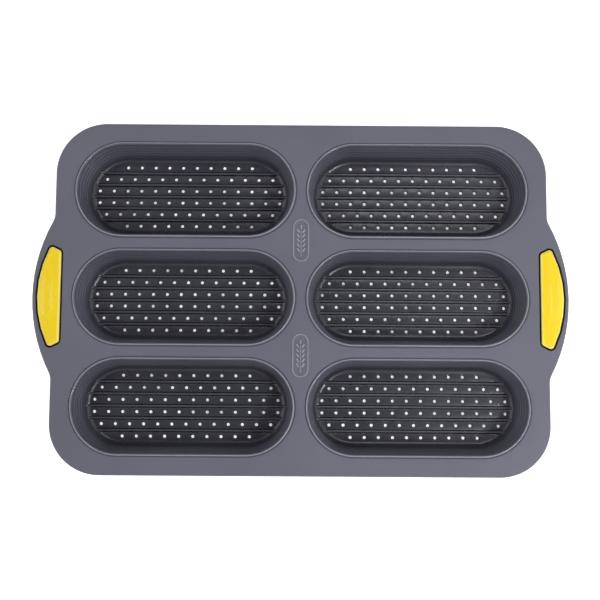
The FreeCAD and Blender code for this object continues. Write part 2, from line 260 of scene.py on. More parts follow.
RIM_LOW, RIM_HIGH = node_box("rim")
DECK_LOW, DECK_HIGH = node_box("deck")
CUP_LOW, CUP_HIGH = node_box("loaf_cup_rear_right")
GRIP_LOW, GRIP_HIGH = node_box("grip_right")
DECK_TOP = RIM_HIGH.z
RIM_BOTTOM = RIM_LOW.z
DECK_UNDER = DECK_LOW.z
CUP_EDGE_R = (CUP_HIGH.y - CUP_LOW.y) / 2
CUP_HALF_RUN = (CUP_HIGH.x - CUP_LOW.x) / 2 - CUP_EDGE_R
BEAD_TOP = CUP_HIGH.z
WALL_FOOT_R = MOUTH_R - TERRACES * (TERRACE_DRAFT + LEDGE_W)
FLOOR_FLAT_R = WALL_FOOT_R - INNER_FILLET


# ---------------------------------------------------------------- plan curves

class Outline:
    """A closed smooth plan curve, anticlockwise: points and their outward normals.

    It is made from arcs (centre x, centre y, radius, first and last direction of the outward normal), and a
    straight run joins each arc to the next. A hollow arc has a negative radius. An arc of no radius turns on
    one point, so that a ring at some distance from it is round.
    """

    def __init__(self, arcs, arc_step=ARC_STEP, run_step=RUN_STEP):
        found = []
        for n, (cx, cy, radius, first, last) in enumerate(arcs):
            steps = max(2, math.ceil(abs(last - first) / arc_step - 1e-6))
            for angle in np.linspace(first, last, steps + 1):
                normal = (math.cos(angle), math.sin(angle))
                found.append((cx + radius * normal[0], cy + radius * normal[1], *normal))
            next_x, next_y, next_radius, next_first, _ = arcs[(n + 1) % len(arcs)]
            x, y, *normal = found[-1]
            run_x = next_x + next_radius * math.cos(next_first) - x
            run_y = next_y + next_radius * math.sin(next_first) - y
            parts = math.ceil(math.hypot(run_x, run_y) / run_step)
            found += [(x + run_x * k / parts, y + run_y * k / parts, *normal) for k in range(1, parts)]
        rows = np.array(found)
        fresh = np.abs(rows - np.roll(rows, 1, axis=0)).max(1) > SAME
        self.points, self.normals = rows[fresh, :2], rows[fresh, 2:]

    def at(self, out):
        """The curve moved outwards by out."""
        return self.points + self.normals * out


def mirrored(arcs, across_x):
    """Arcs of the other half of a plan that is the same on both sides of an axis."""
    if across_x:
        return [(cx, -cy, r, -last, -first) for cx, cy, r, first, last in reversed(arcs)]
    return [(-cx, cy, r, math.pi - last, math.pi - first) for cx, cy, r, first, last in reversed(arcs)]


def turned(arcs, angle, x=0.0, y=0.0):
    """Arcs turned about the origin and then moved by x and y."""
    c, s = math.cos(angle), math.sin(angle)
    return [(cx * c - cy * s + x, cx * s + cy * c + y, r, a + angle, b + angle) for cx, cy, r, a, b in arcs]


def stadium_arcs(half_run):
    """A straight line of half_run each way along X, as a plan curve with no width."""
    right, left = math.pi / 2, 3 * math.pi / 2
    return [(half_run, 0, 0, -right, right), (-half_run, 0, 0, right, left)]


def rectangle_arcs(half_x, half_y, radius):
    """A rounded rectangle."""
    quarter = [(half_x - radius, half_y - radius, radius, 0, math.pi / 2)]
    half = quarter + mirrored(quarter, False)
    return half + mirrored(half, True)


def tray_arcs():
    """The tray's outside: straight front and rear, and a side that bows out into a handle tab at each end."""
    side_x, half_y = RIM_HIGH.x - SIDE_INSET, RIM_HIGH.y
    tab_x = RIM_HIGH.x - TAB_R
    blend_x = side_x + TAB_BLEND_R
    turn = math.acos((blend_x - tab_x) / (TAB_R + TAB_BLEND_R))
    blend_y = (TAB_R + TAB_BLEND_R) * math.sin(turn)
    quarter = [
        (tab_x, 0, TAB_R, 0, turn),
        (blend_x, blend_y, -TAB_BLEND_R, turn, 0),
        (side_x - CORNER_R, half_y - CORNER_R, CORNER_R, 0, math.pi / 2),
    ]
    half = quarter + mirrored(quarter, False)
    return half + mirrored(half, True)


def grip_arcs():
    """The right-hand grip: a straight inner side, two slanted ends and an outer arc, with rounded corners."""
    centre_x = GRIP_HIGH.x - GRIP_OUT_R
    outer = Vector((centre_x + math.sqrt(GRIP_OUT_R ** 2 - GRIP_OUT_HALF ** 2), GRIP_OUT_HALF))
    inner = Vector((GRIP_LOW.x, GRIP_IN_HALF))
    along = (inner - outer).normalized()
    end_normal = Vector((along.y, -along.x))
    end_angle = math.atan2(end_normal.y, end_normal.x)
    r = GRIP_CORNER_R
    inner_centre = Vector((inner.x + r, inner.y - r * (1 + end_normal.x) / end_normal.y))
    # The outer corner's centre lies r inside the end and r inside the arc: the nearer of the two such places
    start = outer - end_normal * r - Vector((centre_x, 0))
    half_b = start.dot(along)
    step = -half_b - math.sqrt(half_b ** 2 - start.length_squared + (GRIP_OUT_R - r) ** 2)
    outer_centre = start + along * step
    arc_end = math.atan2(outer_centre.y, outer_centre.x)
    half = [
        (centre_x, 0, GRIP_OUT_R, 0, arc_end),
        (outer_centre.x + centre_x, outer_centre.y, r, arc_end, end_angle),
        (inner_centre.x, inner_centre.y, r, end_angle, math.pi),
    ]
    return half + mirrored(half, True)


# ---------------------------------------------------------------- mesh building

def round_profile(start, corner, end, steps):
    """Points (out, height) from start to end on a quarter-round whose two tangents meet at corner."""
    points = []
    for k in range(steps + 1):
        t = k / steps * math.pi / 2
        a, b = 1 - math.sin(t), 1 - math.cos(t)
        points.append((
            corner[0] + (start[0] - corner[0]) * a + (end[0] - corner[0]) * b,
            corner[1] + (start[1] - corner[1]) * a + (end[1] - corner[1]) * b,
        ))
    return points


def inside(points, starts, ends):
    """For each point, whether it lies inside the region whose edges run from starts to ends."""
    found = np.zeros(len(points), bool)
    run = ends - starts
    for first in range(0, len(points), BATCH):
        p = points[first:first + BATCH, None, :]
        crosses = (starts[None, :, 1] > p[..., 1]) != (ends[None, :, 1] > p[..., 1])
        rise = np.where(crosses, run[None, :, 1], 1)
        at_x = starts[None, :, 0] + (p[..., 1] - starts[None, :, 1]) * run[None, :, 0] / rise
        found[first:first + BATCH] = (crosses & (p[..., 0] < at_x)).sum(1) % 2 == 1
    return found


def distance_to_edges(points, starts, ends):
    """For each point, the distance to the nearest edge."""
    best = np.full(len(points), np.inf)
    run = ends - starts
    length_sq = np.maximum((run ** 2).sum(1), 1e-12)
    for first in range(0, len(points), BATCH):
        away = points[first:first + BATCH, None, :] - starts[None]
        t = np.clip((away * run[None]).sum(2) / length_sq, 0, 1)
        gap = away - t[..., None] * run[None]
        best[first:first + BATCH] = np.sqrt((gap ** 2).sum(2)).min(1)
    return best


def lattice(pitch, half_x, half_y):
    """Points of a triangular lattice that covers a rectangle about the origin."""
    columns = np.arange(-half_x, half_x, pitch)
    rows = np.arange(-half_y, half_y, pitch * math.sqrt(3) / 2)
    return np.array([(x + pitch / 2 * (n % 2), y) for n, y in enumerate(rows) for x in columns])


class Skin:
    """A mesh being built from rings of vertices, in millimetres."""

    def __init__(self):
        self.bm = bmesh.new()
        # Per-vertex value: rubbed edges are painted paler, partly rubbing and partly painted highlight;
        # recesses are painted dark as painted shade.
        self.wear_and_painted_light = self.bm.verts.layers.float.new("wear_and_painted_light")

    def ring(self, outline, out, height, wear_and_painted_light=0.0):
        """One vertex for each point of the outline moved outwards; the last value is 1 on a rubbed edge,
        painted paler as rubbing and painted highlight, and -1 in recesses, painted dark as painted shade.
        """
        made = [self.bm.verts.new((x, y, height)) for x, y in outline.at(out)]
        for v in made:
            v[self.wear_and_painted_light] = wear_and_painted_light
        return made

    def bridge(self, a, b, material=0):
        """A band of four-sided faces between two rings of equal length."""
        count = len(a)
        for k in range(count):
            face = self.bm.faces.new((a[k], a[(k + 1) % count], b[(k + 1) % count], b[k]))
            face.material_index = material

    def sweep(self, outline, profile, material=0):
        """Bands along a profile of (out, height[, rubbing and painted light]) points; returns the first and
        last ring.
        """
        rings = [self.ring(outline, *point) for point in profile]
        for a, b in zip(rings, rings[1:]):
            self.bridge(a, b, material)
        return rings[0], rings[-1]

    def fill(self, rings, height, points=(), spare=0.2, material=0, shape=None):
        """Triangles between one outer ring and the holes in it.

        Of the given points, those inside and further than spare from the edges become vertices. Their height,
        and their value of rubbing and painted light, are shape(x, y) where there is one.
        """
        verts = [v for ring in rings for v in ring]
        plan = np.array([(v.co.x, v.co.y) for v in verts])
        edges, first = [], 0
        for ring in rings:
            edges += [(first + k, first + (k + 1) % len(ring)) for k in range(len(ring))]
            first += len(ring)
        index = np.array(edges)
        starts, ends = plan[index[:, 0]], plan[index[:, 1]]
        if len(points):
            points = points[inside(points, starts, ends)]
            points = points[distance_to_edges(points, starts, ends) > spare]
        for x, y in points:
            z, wear_and_painted_light = shape(x, y) if shape else (height, 0.0)
            verts.append(self.bm.verts.new((x, y, z)))
            verts[-1][self.wear_and_painted_light] = wear_and_painted_light
        coords = [Vector((v.co.x, v.co.y)) for v in verts]
        _, _, triangles, origin, _, _ = delaunay_2d_cdt(coords, edges, [], 0, 1e-5, True)
        corners = np.array([[coords[origin[i][0]] for i in t] for t in triangles])
        sides = corners[:, 1:] - corners[:, :1]
        areas = np.abs(sides[:, 0, 0] * sides[:, 1, 1] - sides[:, 0, 1] * sides[:, 1, 0]) / 2
        for keep, t in zip(inside(corners.mean(1), starts, ends) & (areas > SLIVER), triangles):
            if keep:
                face = self.bm.faces.new([verts[origin[i][0]] for i in t])
                face.material_index = material

    def dome(self, outline, half_width, foot, rise, steps=4, material=0, wear_and_painted_light=0.0):
        """A rounded ridge on a line: bands from its foot to a crest along the line; returns the foot ring.

        The crest is a ring folded flat on the line, so its two sides are joined by shared vertices.
        """
        profile = []
        for k in range(steps):
            t = k / steps * math.pi / 2
            profile.append((half_width * math.cos(t), foot + rise * math.sin(t), wear_and_painted_light * math.sin(t)))
        foot_ring, last = self.sweep(outline, profile, material)
        tops = []
        for x, y in outline.points:
            top = next((v for v in tops if math.hypot(v.co.x - x, v.co.y - y) < TOUCH), None)
            if top is None:
                top = self.bm.verts.new((x, y, foot + rise))
                top[self.wear_and_painted_light] = wear_and_painted_light
            tops.append(top)
        count = len(last)
        for k in range(count):
            corners = [last[k], last[(k + 1) % count], tops[(k + 1) % count], tops[k]]
            if corners[2] is corners[3]:
                corners.pop()
            face = self.bm.faces.new(corners)
            face.material_index = material
        return foot_ring

    def stamp(self, other, rings, place):
        """Adds a copy of another skin, moved to a place in the plan; returns the copies of its rings."""
        copies = {}
        for v in other.bm.verts:
            copies[v] = self.bm.verts.new((v.co.x + place.x, v.co.y + place.y, v.co.z))
            copies[v][self.wear_and_painted_light] = v[other.wear_and_painted_light]
        for face in other.bm.faces:
            self.bm.faces.new([copies[v] for v in face.verts]).material_index = face.material_index
        return [[copies[v] for v in ring] for ring in rings]

    def finish(self, name, materials, bend=None):
        """The Blender object, in metres, with outward normals and smooth shading."""
        if bend:
            for v in self.bm.verts:
                v.co.z += bend(v.co)
        bmesh.ops.recalc_face_normals(self.bm, faces=self.bm.faces[:])
        for v in self.bm.verts:
            v.co *= MM
        for face in self.bm.faces:
            face.smooth = True
        mesh = bpy.data.meshes.new(name)
        self.bm.to_mesh(mesh)
        self.bm.free()
        for material in materials:
            mesh.materials.append(material)
        obj = bpy.data.objects.new(name, mesh)
        bpy.context.scene.collection.objects.link(obj)
        shading = obj.modifiers.new("weighted_normals", "WEIGHTED_NORMAL")
        shading.mode = "FACE_AREA"
        shading.keep_sharp = True
        return obj


# ---------------------------------------------------------------- grey body

MATTE, POLISHED_SHADED = 0, 1


def mouth_profile():
    """Deck to the crest of the bead: a fine groove, then the bead's outer side."""
    foot = BEAD_R + BEAD_HALF_W
    rise = BEAD_TOP - DECK_TOP
    groove = [(foot + out, DECK_TOP - GROOVE * share, wear_and_painted_light) for out, share, wear_and_painted_light in GROOVE_SECTION]
    return groove + [(BEAD_R + out, DECK_TOP + rise * share, wear_and_painted_light) for out, share, wear_and_painted_light in BEAD_OUTSIDE]


def fillet_point(angle):
    """A point (radius, height) of the fillet between floor and wall; angle is 0 at the floor."""
    return FLOOR_FLAT_R + INNER_FILLET * math.sin(angle), FLOOR_T + INNER_FILLET * (1 - math.cos(angle))


def inner_profile():
    """From below the crest of the bead, down the terraced wall and the upper part of its fillet."""
    wall_top = DECK_TOP - MOUTH_DROP
    rise = BEAD_TOP - DECK_TOP
    points = [(BEAD_R - inwards, DECK_TOP + rise * share, wear_and_painted_light) for inwards, share, wear_and_painted_light in BEAD_INSIDE]
    points += [(MOUTH_R + MOUTH_EASE_R, wall_top + MOUTH_EASE_H), (MOUTH_R, wall_top)]
    fall = (wall_top - FLOOR_T - INNER_FILLET) / TERRACES
    for step in range(TERRACES):
        ledge = wall_top - (step + 1) * fall
        radius = MOUTH_R - step * (TERRACE_DRAFT + LEDGE_W) - TERRACE_DRAFT
        points.append((radius + LEDGE_EASE_R, ledge + LEDGE_H + LEDGE_EASE_H))
        points += [(radius - LEDGE_W * across, ledge + LEDGE_H * up) for across, up in LEDGE_SECTION]
    return points[:-1] + [fillet_point(t) for t in np.linspace(math.pi / 2, FILLET_SPLIT, 5)]


def floor_height(x, y):
    """Height and rubbing value of a cup's floor at a place from the cup's middle: flat, fillet and ribs; the
    value paints rib crests paler, partly rubbing and partly painted highlight, and their grooves dark as
    painted shade.
    """
    out = math.hypot(max(abs(x) - CUP_HALF_RUN, 0.0), y) - FLOOR_FLAT_R
    rise = INNER_FILLET - math.sqrt(INNER_FILLET ** 2 - max(out, 0.0) ** 2)
    last = (RIB_COUNT - 1) / 2
    off = abs(y / RIB_PITCH - min(max(round(y / RIB_PITCH), -last), last)) * RIB_PITCH
    offsets, heights, wear_and_painted_light_column = zip(*RIB_SECTION)
    rib = float(np.interp(off, offsets, heights))
    if rib > 0:
        return FLOOR_T + max(rise, rib), float(np.interp(off, offsets, wear_and_painted_light_column)) if rib > rise else 0.0
    fade = max(1 - max(out, 0.0) / RIB_GROOVE_FADE, 0.0)
    return FLOOR_T + rise + rib * fade, float(np.interp(off, offsets, wear_and_painted_light_column)) * fade


def floor_points():
    """Inner points of a cup's floor: rows along every rib, rings in the fillet, and a lattice."""
    split_r = fillet_point(FILLET_SPLIT)[0]
    reach = CUP_HALF_RUN + split_r
    edge = RIB_SECTION[-1][0]
    rib_ys = [(n - (RIB_COUNT - 1) / 2) * RIB_PITCH for n in range(RIB_COUNT)]
    coarse = np.arange(0, CUP_HALF_RUN + RIB_ROW_COARSE_END, RIB_ROW_STEP)
    along = np.concatenate([coarse, np.arange(CUP_HALF_RUN + RIB_ROW_FINE_START, reach, RIB_ROW_FINE)])
    along = np.concatenate([-along[:0:-1], along])
    offsets = [offset for offset, _, _ in RIB_SECTION]
    offsets = [-offset for offset in offsets[:0:-1]] + offsets
    rows = np.array([(x, y + offset) for y in rib_ys for offset in offsets for x in along])
    plan = Outline(stadium_arcs(CUP_HALF_RUN), run_step=RIB_ROW_STEP)
    turns = np.linspace(FILLET_START, FILLET_SPLIT, FILLET_RINGS, endpoint=False)
    rings = np.vstack([plan.at(fillet_point(turn)[0]) for turn in turns])
    cells = lattice(FLOOR_GRID, reach, split_r)
    radius = np.hypot(np.maximum(np.abs(cells[:, 0]) - CUP_HALF_RUN, 0), cells[:, 1])
    cells = cells[radius < FLOOR_FLAT_R - FLOOR_MARGIN]
    others = np.vstack([rings, cells])
    clear = np.min([np.abs(others[:, 1] - y) for y in rib_ys], axis=0) > edge + RIB_CLEAR
    return np.vstack([rows, others[clear]])


def outer_profile():
    """Underside of the floor up the outside of a cup to the underside of the deck."""
    foot_r = WALL_FOOT_R + WALL_T
    knee = FLOOR_T + INNER_FILLET
    points = round_profile((foot_r - knee, 0), (foot_r, 0), (foot_r, knee), 7)
    top_r, top = CUP_EDGE_R - EAVE_INSET, DECK_UNDER - EAVE_DROP
    points += [(foot_r + (top_r - foot_r) * share, knee + (top - knee) * share) for share in (0.35, 0.7)]
    corner, end = (CUP_EDGE_R - EAVE_CORNER, DECK_UNDER), (CUP_EDGE_R + EAVE_REACH, DECK_UNDER)
    return points + round_profile((top_r, top), corner, end, 4)


def cup():
    """One loaf cup about the origin: its skin, and its rings in the deck's top and underside."""
    skin = Skin()
    points = floor_points()
    plan = Outline(stadium_arcs(CUP_HALF_RUN))
    mouth, crest = skin.sweep(plan, mouth_profile(), MATTE)
    inner = [skin.ring(plan, *point) for point in inner_profile()]
    for a, b in zip([crest] + inner, inner):
        skin.bridge(a, b, POLISHED_SHADED)
    under_edge, under = skin.sweep(plan, outer_profile(), MATTE)

    wide = VENT_R + VENT_EDGE
    # The vent's eased edge and countersink are painted dark, as painted shade, by the values below zero.
    profile = [(wide, FLOOR_T), (wide - VENT_LIP_W, FLOOR_T - VENT_LIP_H, -0.6)]
    profile += [(VENT_R, FLOOR_T - VENT_EDGE, -1)]
    profile += [(VENT_R, VENT_EDGE / 2), (VENT_R + VENT_EDGE / 2, 0)]
    tops, bottoms = [], []
    for row, count in enumerate(VENTS_IN_ROW):
        vent_y = (row - (len(VENTS_IN_ROW) - 1) / 2) * RIB_PITCH
        for n in range(count):
            vent_x = (n - (count - 1) / 2) * VENT_PITCH
            hole = Outline([(vent_x, vent_y, 0, 0, 2 * math.pi)], 2 * math.pi / VENT_SIDES)
            top, bottom = skin.sweep(hole, profile, POLISHED_SHADED)
            tops.append(top)
            bottoms.append(bottom)
    skin.fill([inner[-1]] + tops, FLOOR_T, points, FLOOR_SPARE, POLISHED_SHADED, floor_height)
    skin.fill([under_edge] + bottoms, 0.0, lattice(FLOOR_GRID, RIM_HIGH.x, RIM_HIGH.y), UNDER_SPARE)
    return skin, mouth, under


def grip_window(skin, angle):
    """The lipped window that holds a grip; returns its rings in the rim's top and underside."""
    plan = Outline(turned(grip_arcs(), angle), GRIP_ARC_STEP, RUN_STEP)
    gap, reach, soft = GRIP_GAP, -LIP_REACH, SOFT_EDGE
    profile = round_profile((gap + soft, DECK_TOP), (gap, DECK_TOP), (gap, DECK_TOP - soft), 3)
    # The window's walls and lip take the dark cup material and values below zero: painted shade in the gap
    # round the grip.
    profile += [(gap, DECK_TOP - 3 * soft, -1), (gap, LIP_TOP, -1), (reach, LIP_TOP, -1), (reach, LIP_BOTTOM)]
    profile += [(gap, LIP_BOTTOM)]
    profile += round_profile((gap, RIM_BOTTOM + soft), (gap, RIM_BOTTOM), (gap + soft, RIM_BOTTOM), 3)
    return skin.sweep(plan, profile, POLISHED_SHADED)


def badge(skin, y):
    """A raised oval round an ear of wheat; returns the oval's outer ring, and the list of rings inside it."""
    arcs = turned(stadium_arcs(BADGE_HALF_RUN), math.pi / 2, 0, y)
    oval = Outline(arcs, BADGE_ARC_STEP, BADGE_RUN_STEP)
    middle, half = BADGE_R - BADGE_LINE / 2, BADGE_LINE / 2
    # The oval's crest, and the grains and stem, are painted paler, partly rubbing and partly painted
    # highlight.
    profile = [(middle + half * math.cos(t), DECK_TOP + BADGE_H * math.sin(t), math.sin(t) ** 2)
               for t in np.linspace(0, math.pi, BADGE_BANDS + 1)]
    outer, inner = skin.sweep(oval, profile, MATTE)
    tip = GRAIN_PAIRS * GRAIN_PITCH / 2
    grains = [(0.0, tip + GRAIN_HALF_RUN, 90.0)]
    for n in range(GRAIN_PAIRS):
        along = (n - (GRAIN_PAIRS - 1) / 2) * GRAIN_PITCH
        grains += [(side * GRAIN_OUT, along, 90.0 - side * GRAIN_LEAN) for side in (-1, 1)]
    holes = []
    for grain_x, grain_y, lean in grains:
        arcs = turned(stadium_arcs(GRAIN_HALF_RUN), math.radians(lean), grain_x, y + grain_y)
        grain = Outline(arcs, GRAIN_ARC_STEP, GRAIN_RUN_STEP)
        holes.append(skin.dome(grain, GRAIN_R, DECK_TOP, BADGE_H, GRAIN_BANDS, MATTE, 1.0))
    stem_top = tip - GRAIN_R - STEM_HALF_W - STEM_GAP
    arcs = turned(stadium_arcs((stem_top + STEM_FOOT) / 2), math.pi / 2, 0, y + (stem_top - STEM_FOOT) / 2)
    stem = Outline(arcs, STEM_ARC_STEP, BADGE_RUN_STEP)
    holes.append(skin.dome(stem, STEM_HALF_W, DECK_TOP, BADGE_H, STEM_BANDS, MATTE, 1.0))
    return outer, [inner] + holes


def sag(co):
    """Slow waviness: none at the cup floors, which stand on the table, and most in the deck."""
    share = min(max(co.z / DECK_TOP, 0.0), 1.0)
    return SAG * share * share * noise.noise(Vector((co.x / SAG_LENGTH, co.y / SAG_LENGTH, SAG_SEED)))


def make_body(materials):
    """The whole grey moulding as one closed skin."""
    skin = Skin()
    tray = Outline(tray_arcs())
    edge = round_profile((-RIM_EDGE_R, DECK_TOP), (0, DECK_TOP), (0, DECK_TOP - RIM_EDGE_R), 6)
    edge += round_profile((0, RIM_BOTTOM + RIM_FOOT_R), (0, RIM_BOTTOM), (-RIM_FOOT_R, RIM_BOTTOM), 4)
    deck_edge, foot_edge = skin.sweep(tray, edge, MATTE)

    pocket = Outline(rectangle_arcs(DECK_HIGH.x, DECK_HIGH.y, DECK_CORNER_R))
    soft = SOFT_EDGE
    wall = round_profile((soft, RIM_BOTTOM), (0, RIM_BOTTOM), (0, RIM_BOTTOM + soft), 2)
    start, end = (0, DECK_UNDER - POCKET_CORNER_R), (-POCKET_CORNER_R, DECK_UNDER)
    wall += round_profile(start, (0, DECK_UNDER), end, 3)
    pocket_foot, pocket_top = skin.sweep(pocket, wall, MATTE)

    top_rings, foot_rings, under_rings = [deck_edge], [foot_edge, pocket_foot], [pocket_top]
    for angle in (0, math.pi):
        top, foot = grip_window(skin, angle)
        top_rings.append(top)
        foot_rings.append(foot)
    loaf_cup, *cup_rings = cup()
    for row in ROWS:
        for column in COLUMNS:
            low, high = node_box(f"loaf_cup_{row}_{column}")
            mouth, under = skin.stamp(loaf_cup, cup_rings, (low + high) / 2)
            top_rings.append(mouth)
            under_rings.append(under)
    for y in (BADGE_Y, -BADGE_Y):
        outside, within = badge(skin, y)
        top_rings.append(outside)
        skin.fill(within, DECK_TOP)
    sheet = lattice(SHEET_GRID, RIM_HIGH.x, RIM_HIGH.y)
    skin.fill(top_rings, DECK_TOP, sheet, SHEET_SPARE)
    skin.fill(foot_rings, RIM_BOTTOM, sheet, SHEET_SPARE)
    skin.fill(under_rings, DECK_UNDER, sheet, SHEET_SPARE)
    body = skin.finish("silicone_body", materials, sag)
    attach(body, "root")
    kinds = ("loaf_cup", "vented_floor")
    cups = [f"{kind}_{row}_{column}" for kind in kinds for row in ROWS for column in COLUMNS]
    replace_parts(body, "rim", "deck", *cups)


# ---------------------------------------------------------------- grips

def crown(x, y, top):
    """Height and rubbing value of the grip's upper face: a crown across it and fine finger ribs along it,
    whose crests are painted paler, partly rubbing and partly painted highlight.
    """
    middle = (GRIP_LOW.x + GRIP_HIGH.x) / 2
    half = (GRIP_HIGH.x - GRIP_LOW.x) / 2
    bow = math.hypot(x - (GRIP_HIGH.x - GRIP_OUT_R), y) + GRIP_HIGH.x - GRIP_OUT_R
    height = top - FINGER_RIB_RISE - GRIP_CROWN * ((x - middle) / half) ** 2
    offset = (bow - FINGER_RIBS_X) / FINGER_RIB_PITCH
    last = (FINGER_RIBS - 1) / 2
    nearest = min(max(round(offset + last) - last, -last), last)
    away = abs(offset - nearest) * FINGER_RIB_PITCH / FINGER_RIB_W
    if away > 1:
        return height, 0.0
    end = FINGER_RIB_HALF + FINGER_RIB_GROWTH * nearest
    fade = min(max((end - abs(y)) / FINGER_RIB_FADE, 0.0), 1.0)
    crest = fade * fade * (3 - 2 * fade) * (0.5 + 0.5 * math.cos(math.pi * away))
    return height + FINGER_RIB_RISE * crest, FINGER_RIB_WEAR_AND_HIGHLIGHT * crest


def make_grip(name, angle, material):
    """One yellow grip: crowned pad above the rim's lip, waist within it and flat pad below."""
    skin = Skin()
    plan = Outline(grip_arcs(), GRIP_ARC_STEP, GRIP_RUN_STEP)
    top, bottom = GRIP_HIGH.z, GRIP_LOW.z
    edge_top = top - FINGER_RIB_RISE - GRIP_CROWN
    r = GRIP_EDGE_R
    edge = round_profile((-r, edge_top), (0, edge_top), (0, edge_top - r), len(GRIP_EDGE_WEAR_AND_HIGHLIGHT) - 1)
    # The edge rounding is painted paler, partly rubbing and partly painted highlight.
    profile = [(*point, wear_and_painted_light) for point, wear_and_painted_light in zip(edge, GRIP_EDGE_WEAR_AND_HIGHLIGHT)]
    # The waist within the rim's window is painted dark, as painted shade in the gap.
    profile += [(0, LIP_TOP + WAIST_SHADE_H, -0.5), (0, LIP_TOP + WAIST_EASE_H, -1)]
    profile += [(-WAIST_EASE_R, LIP_TOP, -1), (-LIP_REACH, LIP_TOP), (-LIP_REACH, LIP_BOTTOM)]
    profile += [(-WAIST_EASE_R, LIP_BOTTOM), (0, LIP_BOTTOM - WAIST_EASE_H)]
    profile += round_profile((0, bottom + r), (0, bottom), (-r, bottom), 4)
    upper, lower = skin.sweep(plan, profile)
    for v in upper:
        v.co.z, _ = crown(v.co.x, v.co.y, top)
    centre = GRIP_HIGH.x - GRIP_OUT_R
    inner = []
    for radius in np.arange(GRIP_LOW.x - centre - CROWN_MARGIN, GRIP_HIGH.x - centre, CROWN_STEP):
        reach = GRIP_OUT_HALF / radius
        turns = np.linspace(-reach, reach, CROWN_COLUMNS)
        inner += [(centre + radius * math.cos(a), radius * math.sin(a)) for a in turns]
    skin.fill([upper], edge_top, np.array(inner), CROWN_SPARE, shape=lambda x, y: crown(x, y, top))
    skin.fill([lower], bottom, lattice(GRIP_GRID, GRIP_HIGH.x, GRIP_OUT_HALF), GRIP_SPARE)
    for v in skin.bm.verts:
        x, y = v.co.x, v.co.y
        v.co.x = x * math.cos(angle) - y * math.sin(angle)
        v.co.y = x * math.sin(angle) + y * math.cos(angle)
    grip = skin.finish(name, [material])
    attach(grip, "root")
    return grip


# ---------------------------------------------------------------- materials

class Nodes:
    """Short way to write a material's node tree."""

    def __init__(self, name):
        self.material = bpy.data.materials.new(name)
        self.material.use_nodes = True
        self.tree = self.material.node_tree
        self.shader = self.tree.nodes["Principled BSDF"]
        self.place = self.add("ShaderNodeTexCoord").outputs["Object"]

    def add(self, kind, inputs=None, **settings):
        """A new node with its settings, and values or links for its inputs."""
        node = self.tree.nodes.new(kind)
        for key, value in settings.items():
            setattr(node, key, value)
        for key, value in (inputs or {}).items():
            self.set(node.inputs[key], value)
        return node

    def set(self, socket, value):
        """Links an output to the socket, or sets the socket's own value."""
        if isinstance(value, bpy.types.NodeSocket):
            self.tree.links.new(value, socket)
        else:
            socket.default_value = value

    def math(self, operation, *values):
        """The result of a Math node."""
        inputs = dict(enumerate(values))
        return self.add("ShaderNodeMath", inputs, operation=operation).outputs["Value"]

    def noise(self, size, detail=2.0, roughness=0.5):
        """Noise with features of about size metres."""
        inputs = {"Vector": self.place, "Scale": 1 / size, "Detail": detail, "Roughness": roughness}
        return self.add("ShaderNodeTexNoise", inputs).outputs["Fac"]

    def remap(self, value, low, high, to_low, to_high):
        """The value moved from one range to another, and kept within it."""
        inputs = {"Value": value, "From Min": low, "From Max": high, "To Min": to_low, "To Max": to_high}
        return self.add("ShaderNodeMapRange", inputs).outputs["Result"]

    def ramp(self, value, stops):
        """A colour between stops of (position, colour)."""
        node = self.add("ShaderNodeValToRGB", {"Fac": value})
        ramp = node.color_ramp
        while len(ramp.elements) < len(stops):
            ramp.elements.new(1.0)
        for element, (place, colour) in zip(ramp.elements, stops):
            element.position = place
            element.color = (*colour, 1.0)
        return node.outputs["Color"]

    def mix(self, fac, a, b, blend="MIX"):
        """Colour a with colour b blended over it."""
        node = self.add("ShaderNodeMix", data_type="RGBA", blend_type=blend)
        self.set(node.inputs[0], fac)
        self.set(node.inputs[6], a)
        self.set(node.inputs[7], b)
        return node.outputs[2]

    def bump(self, height, distance, normal=None):
        """A normal for relief of distance metres, on top of another normal where there is one."""
        inputs = {"Height": height, "Distance": distance, "Strength": 1.0}
        if normal:
            inputs["Normal"] = normal
        return self.add("ShaderNodeBump", inputs).outputs["Normal"]


def shaded(colour, factor):
    """A colour with each channel multiplied by the same factor."""
    return tuple(factor * part for part in colour)


